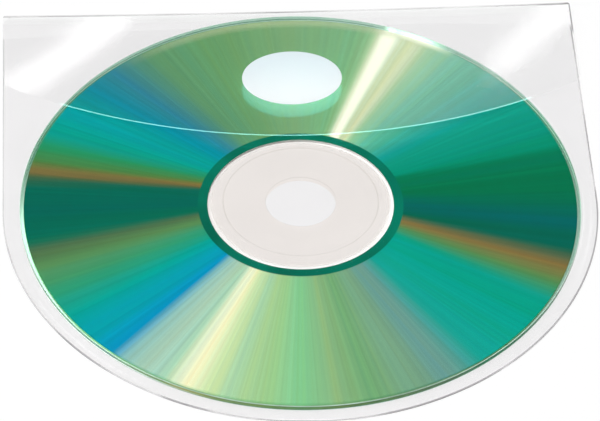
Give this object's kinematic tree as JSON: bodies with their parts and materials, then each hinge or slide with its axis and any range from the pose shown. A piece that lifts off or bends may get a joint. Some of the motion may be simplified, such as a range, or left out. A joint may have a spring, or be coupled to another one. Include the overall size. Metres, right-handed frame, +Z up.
{
  "type": "cd sleeve",
  "caption": "Clear film disc sleeve with a round lower end, a folded-over flap with a plain oval sticker, and a recordable disc inside, lying flat",
  "frame": {"origin": "on the table, under the middle of the sleeve's outline", "axes": "+X to the right across the sleeve, +Y from the round end to the fold, +Z up, from the back film to the flap"},
  "size_m": [0.1274, 0.1246, 0.0027],
  "materials": {
    "film": "clear gloss",
    "sticker": "coated paper",
    "disc_plastic": "clear polycarbonate",
    "data_layer": "metallised, iridescent"
  },
  "bodies": {
    "root": {"back_film_with_flap": "film", "front_film": "film", "flap_sticker": "sticker", "disc": "disc_plastic", "disc_data_layer": "data_layer"}
  },
  "joints": []
}
